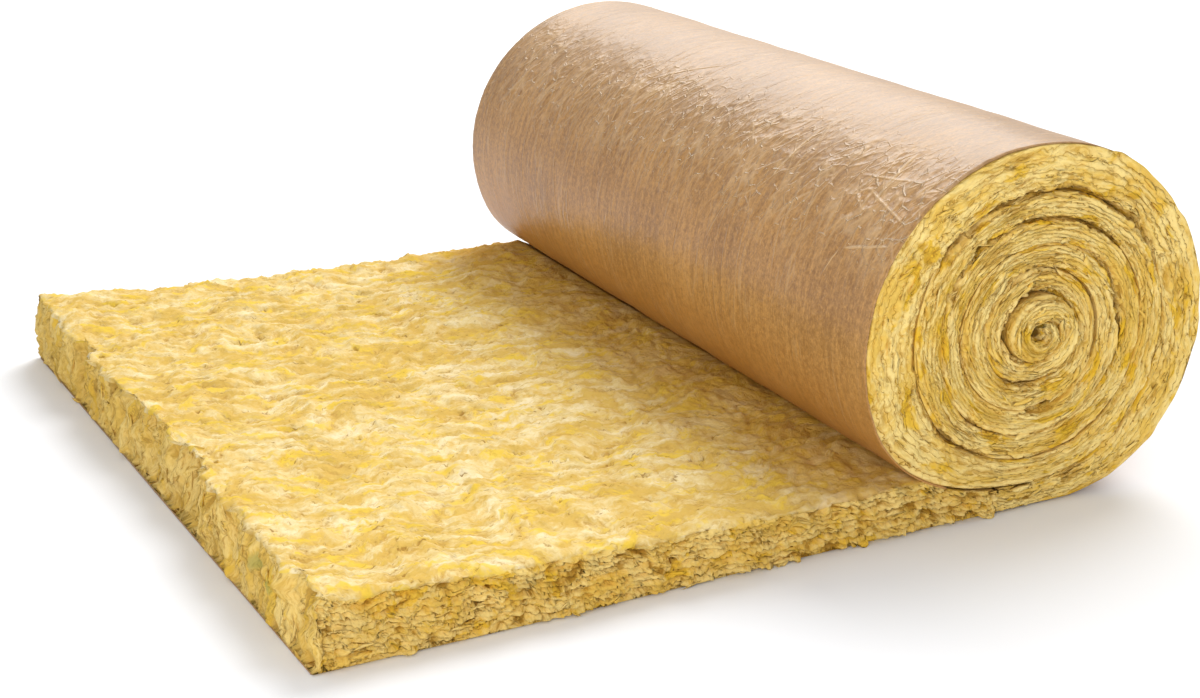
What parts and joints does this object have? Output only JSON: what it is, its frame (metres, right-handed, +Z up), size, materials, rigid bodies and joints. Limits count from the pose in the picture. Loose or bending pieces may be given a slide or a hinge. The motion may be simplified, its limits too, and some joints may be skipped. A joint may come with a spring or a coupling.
{
  "type": "insulation roll",
  "caption": "Kraft faced mineral wool insulation blanket, wound into a roll lying on its side with a flat run rolled out in front of it.",
  "frame": {"origin": "on the floor, in the middle of the length and of the width that the whole covers", "axes": "+Z up; the roll's axis and the blanket's width lie along Y; the flat run points to -X"},
  "size_m": [1.148, 1.2, 0.4359],
  "materials": {
    "wool": "fibrous, matte",
    "kraft": "creased paper, satin"
  },
  "bodies": {
    "root": {"wool_blanket": "wool", "kraft_facing": "kraft"}
  },
  "joints": []
}
